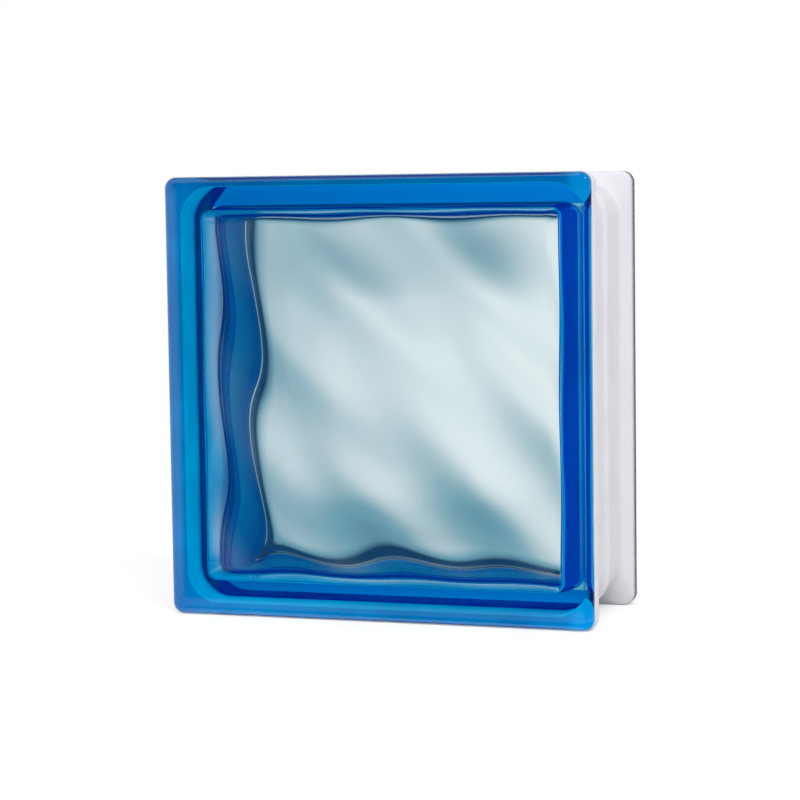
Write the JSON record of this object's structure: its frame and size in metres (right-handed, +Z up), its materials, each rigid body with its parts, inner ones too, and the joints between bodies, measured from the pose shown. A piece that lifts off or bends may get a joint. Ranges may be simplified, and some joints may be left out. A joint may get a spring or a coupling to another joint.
{
  "type": "glass block",
  "caption": "Hollow pressed glass block with a cloudy wavy pattern and coated edges, laid in mortar as a light-passing wall.",
  "frame": {"origin": "middle of the bottom of the standing block, halfway between its two faces", "axes": "+X across the block, +Y from the front face to the back face, +Z up"},
  "size_m": [0.19, 0.08, 0.19],
  "materials": {
    "clear_glass": "gloss",
    "edge_coat": "matte"
  },
  "bodies": {
    "root": {"front_half": "clear_glass", "back_half": "clear_glass", "edge_coating": "edge_coat"}
  },
  "joints": []
}
